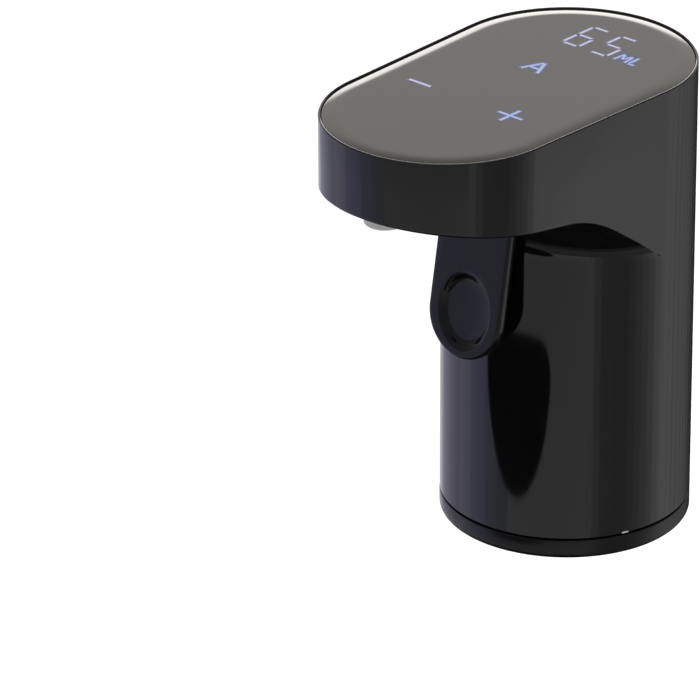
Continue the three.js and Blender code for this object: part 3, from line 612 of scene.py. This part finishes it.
def unit_strokes(x, y, tall=3.4, dip=0.9):
    """The letters of the unit, millilitres, from their lower left corner."""
    letter_m = [bar(x, y, x + 0.3, y + tall), bar(x + 0.35, y + tall, x + 1.4, y + dip),
                bar(x + 1.45, y + dip, x + 2.5, y + tall), bar(x + 2.55, y + tall, x + 2.9, y)]
    letter_l = [bar(x + 3.9, y + tall, x + 3.9, y + 0.3), bar(x + 3.8, y, x + 5.3, y)]
    return letter_m + letter_l


def make_marks():
    """Minus, mode and plus over their light pipes, and a volume over the display."""
    minus = centre_mm("minus_light_pipe") + Vector((0.2, -0.3, 0))
    mode = centre_mm("mode_light_pipe") + Vector((0.4, -2.2, 0))
    plus = centre_mm("plus_light_pipe") + Vector((0, -0.6, 0))
    minus_reach, digits_y = 2.9, 5.1
    make_lit_mark("mark_minus", [bar(minus.x - minus_reach, minus.y, minus.x + minus_reach, minus.y)], 0.66,
                  LIT_WHITE, HALO_WHITE)
    make_lit_mark("mark_plus", plus_strokes(plus.x, plus.y), 0.62, LIT_BLUE, HALO_BLUE)
    make_lit_mark("mark_mode", letter_a_strokes(mode.x, mode.y), 0.62, LIT_BLUE, HALO_BLUE)
    make_lit_mark("display_digits", digit_strokes("6", -6.4, digits_y) + digit_strokes("5", 1.25, digits_y),
                  0.55, LIT_WHITE, HALO_WHITE)
    make_lit_mark("display_unit", unit_strokes(7.7, digits_y + 0.1), 0.46, LIT_BLUE, HALO_BLUE)


# ------------------------------------------------------------------ base and stopper

def make_base():
    """Base ring with the socket that the lip of the bottle goes into."""
    edge, lead_in, crease = 1.1, 0.9, 0.25          # radii of its rounded edges
    socket, sleeve, stopper_hole = 16.6, 18.3, 6.5  # radii
    parting, top = HOUSING_FOOT - 0.4, BASE_HIGH.z
    spigot, spigot_top, floor_top, roof = BORE_R - 0.2, 6.6, 3.4, 2
    profile = [(socket, lead_in), *arc((socket + lead_in, lead_in), lead_in, 180, 270, 5)[1:]]
    profile += arc((COLUMN_R - edge, edge), edge, 270, 360, 10)
    profile += [(COLUMN_R, parting - crease),
                *arc((COLUMN_R - crease, parting - crease), crease, 0, 90, 4)[1:]]
    profile += [(COLUMN_R - 2.2, parting), (spigot, parting + 0.1), (spigot, spigot_top),
                (spigot - 0.8, spigot_top), (spigot - 0.8, floor_top), (sleeve, floor_top), (sleeve, top),
                (stopper_hole, top), (stopper_hole, top - roof), (socket, top - roof)]
    ring = revolve("base_shell", profile, FINISH["base_black"], segments=192)
    holes = []
    for name in BASE_SCREWS:
        c = centre_mm(name)
        holes += [rod(2.6, (c.x, c.y, -1), (c.x, c.y, 1.8)), rod(1.35, (c.x, c.y, 1), (c.x, c.y, 5))]
    cut(ring, holes)
    place(ring, "body", "base_black", "base_ring")


def make_gasket():
    """Flat silicone ring, with chamfered edges, that the lip of the bottle presses on."""
    low, high = box_mm("seat_gasket")
    inner, outer, chamfer = 10.3, high.x, 0.4
    profile = [(inner + chamfer, low.z), (outer - chamfer, low.z), (outer, low.z + chamfer),
               (outer, high.z - chamfer), (outer - chamfer, high.z), (inner + chamfer, high.z),
               (inner, high.z - chamfer), (inner, low.z + chamfer)]
    place(revolve("seat_gasket_ring", profile, FINISH["silicone"]), "body", "silicone", "seat_gasket")


def make_painted_highlight():
    """A painted highlight: a small white strip let into the foot of the column, where it meets the base."""
    low, high = HOUSING_FOOT + 0.08, HOUSING_FOOT + 0.42
    inner, outer = COLUMN_R - 0.3, COLUMN_R + 0.03
    middle, half, steps = -21, 1.6, 6               # degrees round the column
    points = []
    for k in range(steps + 1):
        a = math.radians(middle - half + 2 * half * k / steps)
        for r, z in ((inner, low), (outer, low), (outer, high), (inner, high)):
            points.append((r * math.cos(a), r * math.sin(a), z))
    n = len(points)
    faces = grid_faces(steps + 1, 4, close_columns=False) + [(0, 1, 2, 3), (n - 1, n - 2, n - 3, n - 4)]
    # the white strip is a painted highlight at the parting line, not a part of the object
    place(make_object("painted_highlight_notch", points, faces, FINISH["white_plastic"]), "body", "white_plastic")


def make_stopper():
    """Silicone sleeve with four soft ribs that press in the bottle's neck."""
    low, high = box_mm("stopper")
    bore, body, rib = 6.5, 8.6, high.x              # radii
    rib_half, rib_spread, rib_steps = 1.6, 0.75, 14
    profile = [(bore, low.z + 0.3), (bore + 0.3, low.z), (body - 1.6, low.z), (body - 1.0, low.z + 0.35)]
    for z in (-5, -1.4, 2.2, 5.8):
        profile += [(body + (rib - body) * math.exp(-((s / rib_spread) ** 2)), z + s)
                    for s in (-rib_half + 2 * rib_half * k / rib_steps for k in range(rib_steps + 1))]
    profile += [(body, high.z), (bore, high.z)]
    place(revolve("stopper_sleeve", profile, FINISH["silicone"], segments=96), "body", "silicone", "stopper")


def make_screws():
    """Cross-slotted pan heads in the underside of the base."""
    edge, head_high, shank, point = 0.9, 1.35, 1.1, 1
    slot_half, slot_half_wide, slot_low, slot_high = 1.3, 0.22, -0.5, 1.2
    outline = [(-slot_half, -slot_half_wide), (slot_half, -slot_half_wide), (slot_half, slot_half_wide),
               (-slot_half, slot_half_wide)]
    for k, name in enumerate(BASE_SCREWS, 1):
        low, high = box_mm(name)
        c, r = centre_mm(name), (high.x - low.x) / 2
        profile = [(0, low.z), *arc((r - edge, low.z + edge), edge, 270, 360, 6), (r, low.z + head_high),
                   (shank, low.z + head_high), (shank, high.z - point), (0, high.z)]
        head = revolve(f"{name}_head", profile, FINISH["steel"], (c.x, c.y), 48, closed=False)
        turn = math.radians(20 + 50 * k)
        slots = [prism(outline, lambda u, v, w, a=a: (c.x + u * math.cos(a) - v * math.sin(a),
                                                      c.y + u * math.sin(a) + v * math.cos(a),
                                                      low.z + slot_low + w), slot_high)
                 for a in (turn, turn + math.pi / 2)]
        cut(head, slots)
        place(head, "body", "steel", name)


# ------------------------------------------------------------------ spout

def make_spout():
    """Nozzle with a closed top, and a side barb that the wine tube pushes on."""
    low = box_mm("nozzle")[0]
    outer, bore, flange, flange_low, flange_high = 4.4, 3.6, 5.3, 92.3, 93.4
    lip, chamber_top, shoulder, top = 0.7, 98.6, 99.6, 100.4
    profile = [(bore, chamber_top), (bore, low.z + 0.25), (bore + 0.2, low.z), (outer - lip, low.z),
               *arc((outer - lip, low.z + lip), lip, 280, 360, 6), (outer, flange_low), (flange, flange_low),
               (flange, flange_high), (outer, flange_high), (outer, shoulder), (3.4, top), (0, top),
               (0, chamber_top)]
    nozzle = revolve("nozzle_body", profile, FINISH["white_plastic"], (0, SPOUT_Y), 96)
    start = Vector((0, SPOUT_Y, 96.8))
    away = Vector((1, 1, 0)).normalized()
    barb_r, barb_bore_r = 2.1, 1.5
    join(nozzle, [rod(barb_r, start + away * 4, start + away * 8.4)])
    cut(nozzle, [rod(barb_bore_r, start + away * 2, start + away * 12)])
    place(nozzle, "body", "white_plastic", "nozzle")


def make_aerator():
    """Ring with three blades across it, which break the stream up."""
    low, high = box_mm("aerator_insert")
    inner, outer, lead_in = 2.8, 3.5, 0.2
    profile = [(inner, low.z), (outer - lead_in, low.z), (outer, low.z + lead_in), (outer, high.z),
               (inner, high.z)]
    insert = revolve("aerator_ring", profile, FINISH["white_plastic"], (0, SPOUT_Y), 72)
    half, half_thick, blade_high = 3, 0.25, 2
    outline = [(-half, -half_thick), (half, -half_thick), (half, half_thick), (-half, half_thick)]
    foot = Vector((0, SPOUT_Y, low.z + 0.8))
    blades = []
    for degrees in (0, 60, 120):
        a = math.radians(degrees)
        away = Vector((math.cos(a), math.sin(a), 0))
        across = Vector((-math.sin(a), math.cos(a), 0))
        blades.append(prism(outline, lambda u, v, w, away=away, across=across: foot + away * u + across * v
                            + Vector((0, 0, w)), blade_high))
    join(insert, blades)
    place(insert, "body", "white_plastic", "aerator_insert")


# ------------------------------------------------------------------ paddle

def paddle_place(x, s, out):
    """The point x across the plate, s up along it from the pivot and out from its front face."""
    c, t = math.cos(PADDLE_TILT), math.sin(PADDLE_TILT)
    away = out + PADDLE_FRONT
    return PIVOT + Vector((x, s * t - away * c, s * c + away * t))


def paddle_outline(angle, inset):
    """Where a ray from the dish's centre meets the plate's edge, set in by a distance."""
    half = PADDLE_HALF - inset
    dx, ds = math.cos(angle), math.sin(angle)
    start = DISH["centre"]
    tiny, far = 1e-9, 1e9
    to_side = half / abs(dx) if abs(dx) > tiny else far
    to_top = (PADDLE_TOP - inset - start) / ds if ds > tiny else far
    straight = min(to_side, to_top)
    if start + ds * straight >= -PADDLE_ROUND:
        return dx * straight, start + ds * straight
    lift = start + PADDLE_ROUND
    b = ds * lift
    to_round_end = -b + math.sqrt(b * b - lift * lift + half * half)
    return dx * to_round_end, start + ds * to_round_end


def paddle_column(angle):
    """Points from the middle of the dish, over the edge, to the middle of the back."""
    a, b = DISH["half"]
    dx, ds = math.cos(angle), math.sin(angle)
    lip = 1 / math.sqrt((dx / a) ** 2 + (ds / b) ** 2)
    front_r, back_r, edge_steps, wall_steps = 0.62, 0.5, 5, 14
    crown = 0.12                                    # share of the depth that the dish's floor rises by
    column = []
    wall_shares = [DISH_FLOOR + (1 - DISH_FLOOR) * k / wall_steps for k in range(wall_steps + 1)]
    for share in [0, 0.25, 0.5] + wall_shares:
        wall = max(0, (share - DISH_FLOOR) / (1 - DISH_FLOOR))
        hollow = DISH["deep"] * (1 - crown * share ** 2) * (1 - wall * wall * (3 - 2 * wall))
        column.append((dx * lip * share, DISH["centre"] + ds * lip * share, -hollow))
    x, s = paddle_outline(angle, front_r)
    rim = Vector((dx * lip, DISH["centre"] + ds * lip))
    for t in (0.08, 0.35, 0.7, 1):
        column.append((*rim.lerp(Vector((x, s)), t), 0))
    for k in range(1, edge_steps + 1):
        turn = math.pi / 2 * k / edge_steps
        x, s = paddle_outline(angle, front_r - front_r * math.sin(turn))
        column.append((x, s, -front_r + front_r * math.cos(turn)))
    for k in range(edge_steps + 1):
        turn = math.pi / 2 * k / edge_steps
        x, s = paddle_outline(angle, back_r - back_r * math.cos(turn))
        column.append((x, s, -PADDLE_THICK + back_r - back_r * math.sin(turn)))
    for share in (0.5, 0):
        column.append((x * share, DISH["centre"] + (s - DISH["centre"]) * share, -PADDLE_THICK))
    return [paddle_place(*p) for p in column]


def make_paddle():
    """Plate with a dished front, the lever that works the switch, and the hub on its pin."""
    corner = math.atan2(PADDLE_TOP - DISH["centre"], PADDLE_HALF)
    rays = 180
    turns = sorted({2 * math.pi * k / rays for k in range(rays)} | {corner, math.pi - corner})
    points = [p for a in turns for p in paddle_column(a)]
    rows = len(points) // len(turns)
    plate = make_object("paddle_plate", points, grid_faces(len(turns), rows, close_rows=False),
                        FINISH["paddle_black"])
    hub_r, hole_r, lever_half = 1.9, 0.81, 9
    side = [(-28.6, 80), (-29.9, 84), (-29.9, 91), (-28.1, 91), (-28.1, 84), (-25.6, 80.8)]
    lever = prism(side, lambda y, z, x: (x - lever_half, y, z), 2 * lever_half)
    hub = rod(hub_r, (-PADDLE_HALF, PIVOT.y, PIVOT.z), (PADDLE_HALF, PIVOT.y, PIVOT.z), 64)
    join(plate, [lever, hub])
    cut(plate, [rod(hole_r, (-12, PIVOT.y, PIVOT.z), (12, PIVOT.y, PIVOT.z), 40)])
    place(plate, "paddle", "paddle_black", "push_paddle")


def make_spring():
    """The paddle's return spring, a coil of round wire. The real spring shortens as the paddle is pressed;
    this mesh keeps the length it is built at.
    """
    low, high = box_mm("paddle_spring")
    wire, turns, per_turn, sides = 0.25, 5, 32, 10
    middle = (low + high) / 2
    coil = (high.x - low.x) / 2 - wire
    start, end = high.y - wire, low.y + wire
    points = []
    for k in range(turns * per_turn + 1):
        a = 2 * math.pi * k / per_turn
        out = Vector((math.cos(a), 0, math.sin(a)))
        core = Vector((middle.x, start + (end - start) * k / (turns * per_turn), middle.z)) + out * coil
        for j in range(sides):
            b = 2 * math.pi * j / sides
            points.append(core + wire * (math.cos(b) * out + math.sin(b) * Vector((0, 1, 0))))
    columns = len(points) // sides
    caps = [tuple(range(sides)), tuple(range(len(points) - 1, len(points) - 1 - sides, -1))]
    faces = grid_faces(columns, sides, close_columns=False) + caps
    spring = make_object("return_spring", points, faces, FINISH["spring_steel"])
    place(spring, "body", "spring_steel", "paddle_spring")
    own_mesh(spring)


# ------------------------------------------------------------------ rear port cover

def make_port_cover():
    """Silicone flap that follows the round of the column, with a shallow plug on its back."""
    radius, back_y, edge_r = COLUMN_R - 0.05, 25.65, 0.33
    low, high, middle_z = PORT_LOW, PORT_HIGH, (PORT_LOW.z + PORT_HIGH.z) / 2
    columns, rows, points = 29, 9, []
    for i in range(columns):
        u = -1 + 2 * i / (columns - 1)
        for j in range(rows):
            v = -1 + 2 * j / (rows - 1)
            x, z = u * high.x, middle_z + v * (high.z - low.z) / 2
            points.append((x, math.sqrt(radius * radius - x * x), z))
    n = len(points)
    points += [(x, back_y, z) for x, _, z in points]
    faces = []
    for i in range(columns - 1):
        for j in range(rows - 1):
            a, b, c, d = i * rows + j, i * rows + j + 1, (i + 1) * rows + j + 1, (i + 1) * rows + j
            faces += [(a, b, c, d), (n + d, n + c, n + b, n + a)]
    edge = ([(i * rows, (i + 1) * rows) for i in range(columns - 1)]
            + [((i + 1) * rows + rows - 1, i * rows + rows - 1) for i in range(columns - 1)]
            + [(j + 1, j) for j in range(rows - 1)]
            + [((columns - 1) * rows + j, (columns - 1) * rows + j + 1) for j in range(rows - 1)])
    faces += [(a, b, n + b, n + a) for a, b in edge]
    cover = make_object("port_cover_flap", points, faces, FINISH["dark_silicone"])
    soften(cover, edge_r)
    join(cover, [block((-4.2, 25.3, middle_z - 1.4), (4.2, 25.9, middle_z + 1.3))])
    place(cover, "port_cover", "dark_silicone", "usb_cover")


# ------------------------------------------------------------------ what is carried over from the CAD

def finish_cad_nodes():
    """Every CAD node that still shows gets its slot's finish, softened edges and smooth rounds."""
    weld_reach, bevel_width, bevel_angle = 1e-6, 0.00008, math.radians(50)    # metres
    slots = {row["node"]: row["material_slot"] for row in frame["record"]["subparts"]}
    for name, node in frame["nodes"].items():
        if node.hide_render:
            continue
        node.data.materials.clear()
        node.data.materials.append(FINISH[slots[name]])
        weld = node.modifiers.new("weld", "WELD")
        weld.merge_threshold = weld_reach
        bevel = node.modifiers.new("soft_edges", "BEVEL")
        bevel.width, bevel.segments = bevel_width, 2
        bevel.limit_method, bevel.angle_limit = "ANGLE", bevel_angle
        for polygon in node.data.polygons:
            polygon.use_smooth = True


# ------------------------------------------------------------------ floor and light

def make_softbox():
    """A wide lamp overhead, behind the object, that faces down and leaves no reflection of itself."""
    place_at, side, radiance = Vector((-0.2, 0.62, 0.9)), 1.1, 5.6    # metres
    data = bpy.data.lights.new("overhead_softbox", "AREA")
    data.shape, data.size, data.size_y = "RECTANGLE", side, side
    data.energy = radiance * math.pi * side * side
    light = bpy.data.objects.new("overhead_softbox", data)
    light.location = place_at
    light.visible_glossy = False
    bpy.context.scene.collection.objects.link(light)


def make_floor():
    """A plain pale floor at the level that a bottle under the dispenser would stand on."""
    reach = 6000
    corners = [(x * reach, y * reach, FLOOR_Z) for x, y in ((-1, -1), (1, -1), (1, 1), (-1, 1))]
    paint = surface("floor_paint", (0.86, 0.86, 0.86), 0.8, vary=0.01, mottle=3, grain=40)
    make_object("floor", corners, [(0, 1, 2, 3)], paint)


def studio_direction(degrees):
    """Level unit vector at an angle from the camera's side of the object, positive to the right."""
    a = math.radians(degrees)
    toward, right = Vector((0.667, -0.745, 0)), Vector((0.745, 0.667, 0))
    return toward * math.cos(a) + right * math.sin(a)


def only_reflected(card, name, colour):
    """Makes a card that only reflections see, of a set brightness."""
    material = surface(name, (0, 0, 0), 1.0, mottle=5, grain=50,
                       Emission_Color=(*colour, 1), Emission_Strength=1)
    material.node_tree.nodes["Principled BSDF"].inputs["Specular IOR Level"].default_value = 0
    card.data.materials.append(material)
    card.visible_camera = card.visible_shadow = card.visible_diffuse = False


def flags(name, distance, low, high, sections):
    """Upright curved cards round the object, as (start degrees, end degrees, brightness or colour)."""
    steps = 6
    faces = [(2 * j, 2 * j + 2, 2 * j + 3, 2 * j + 1) for j in range(steps)]
    for k, (start, end, shade) in enumerate(sections):
        points = []
        for j in range(steps + 1):
            foot = studio_direction(start + (end - start) * j / steps) * distance
            points += [(foot.x, foot.y, low), (foot.x, foot.y, high)]
        card = make_object(f"{name}_{k}", points, faces)
        only_reflected(card, f"{name}_{k}", shade if isinstance(shade, tuple) else (shade,) * 3)


def oval_card(name, centre, across, up, shade, spots=48):
    """A flat oval card with two given half axes."""
    turns = [2 * math.pi * k / spots for k in range(spots)]
    points = [Vector(centre) + across * math.cos(a) + up * math.sin(a) for a in turns]
    only_reflected(make_object(name, points, [tuple(range(spots))]), name, (shade,) * 3)


def level_disc(name, height, radius, shade):
    oval_card(name, (0, 0, height), Vector((radius, 0, 0)), Vector((0, radius, 0)), shade)


def make_flags():
    """Cards that shape the soft bands in the gloss of the object, as flags do in a studio."""
    flags("flag_right", 480, FLOOR_Z + 1, 70, [
        (17, 23, 0.6), (23, 29, 0.44), (29, 35, 0.32), (35, 41, 0.3), (41, 55, 0.28), (55, 62, 0.33),
        (62, 69, 0.4), (69, 76, 0.48), (76, 83, 0.6), (83, 90, 0.76), (90, 101, 0.85), (101, 108, 0.74),
        (108, 116, 0.58), (116, 124, 0.45), (124, 131, 0.35), (131, 138, 0.26), (138, 146, 0.16),
        (146, 156, 0.075), (156, 174, 0.025)])
    flags("flag_left", 560, FLOOR_Z + 1, 60, [
        (-168, -150, (0.85, 0.85, 0.92)), (-150, -112, (0.62, 0.61, 0.8)), (-112, -96, (0.78, 0.76, 1.0)),
        (-96, -78, (0.62, 0.62, 0.95)), (-78, -66, (0.5, 0.5, 0.72)), (-66, -54, (0.43, 0.45, 0.53))])
    toward = studio_direction(-43)
    across = Vector((-toward.y, toward.x, 0))
    centre = toward * 150 + Vector((0, 0, -28.5))
    oval_card("flag_near_left", centre, across * 83, Vector((0, 0, 21.5)), 0.01)
    level_disc("card_overhead", 880, 500, 1.5)
    level_disc("flag_below", FLOOR_Z + 3, 270, 0.01)
    level_disc("flag_below_edge", FLOOR_Z + 2, 330, 0.12)
    level_disc("flag_below_rim", FLOOR_Z + 1, 479, 0.28)


WORLD_STOPS = [                    # (how far towards the bright side, colour)
    (0.0, (0.26, 0.27, 0.3)), (0.28, (0.3, 0.31, 0.34)), (0.69, (0.3, 0.3, 0.3)),
    (0.73, (0.36, 0.35, 0.34)), (0.77, (0.64, 0.62, 0.59)), (0.797, (0.92, 0.89, 0.84)),
    (0.95, (0.94, 0.92, 0.88)),
]


def link_along(tree, coords, direction):
    """How far the world's direction points along another, from -1 to 1."""
    dot = tree.nodes.new("ShaderNodeVectorMath")
    dot.operation = "DOT_PRODUCT"
    dot.inputs[1].default_value = direction
    tree.links.new(coords.outputs["Generated"], dot.inputs[0])
    return dot.outputs["Value"]


def make_world():
    """Bright low down behind the object, with a sharp-edged brighter part, and dim elsewhere."""
    bright_side, brightest_side = (-0.6, 0.67, -0.43), (-0.68, 0.73, 0)
    lift_start, lift_end, plain_strength, lifted_strength = 0.936, 0.953, 1.05, 5.0
    world = bpy.data.worlds.new("studio")
    bpy.context.scene.world = world
    world.use_nodes = True
    tree = world.node_tree
    coords = tree.nodes.new("ShaderNodeTexCoord")
    ramp = tree.nodes.new("ShaderNodeValToRGB")
    elements = ramp.color_ramp.elements
    while len(elements) < len(WORLD_STOPS):
        elements.new(0.5)
    for element, (position, colour) in zip(elements, WORLD_STOPS):
        element.position, element.color = position, (*colour, 1)
    shift = tree.nodes.new("ShaderNodeMapRange")
    shift.inputs["From Min"].default_value = -1
    tree.links.new(link_along(tree, coords, bright_side), shift.inputs["Value"])
    tree.links.new(shift.outputs["Result"], ramp.inputs["Fac"])
    lift = tree.nodes.new("ShaderNodeMapRange")
    lift.interpolation_type = "SMOOTHSTEP"
    lift.inputs["From Min"].default_value = lift_start
    lift.inputs["From Max"].default_value = lift_end
    lift.inputs["To Min"].default_value = plain_strength
    lift.inputs["To Max"].default_value = lifted_strength
    tree.links.new(link_along(tree, coords, brightest_side), lift.inputs["Value"])
    background = tree.nodes["Background"]
    tree.links.new(ramp.outputs["Color"], background.inputs["Color"])
    tree.links.new(lift.outputs["Result"], background.inputs["Strength"])


bpy.context.scene.view_settings.view_transform = "Standard"
make_camera()
make_housing()
make_panel()
make_marks()
make_base()
make_gasket()
make_painted_highlight()
make_stopper()
make_screws()
make_spout()
make_aerator()
make_paddle()
make_spring()
make_port_cover()
finish_cad_nodes()
make_floor()
make_world()
make_flags()
make_softbox()
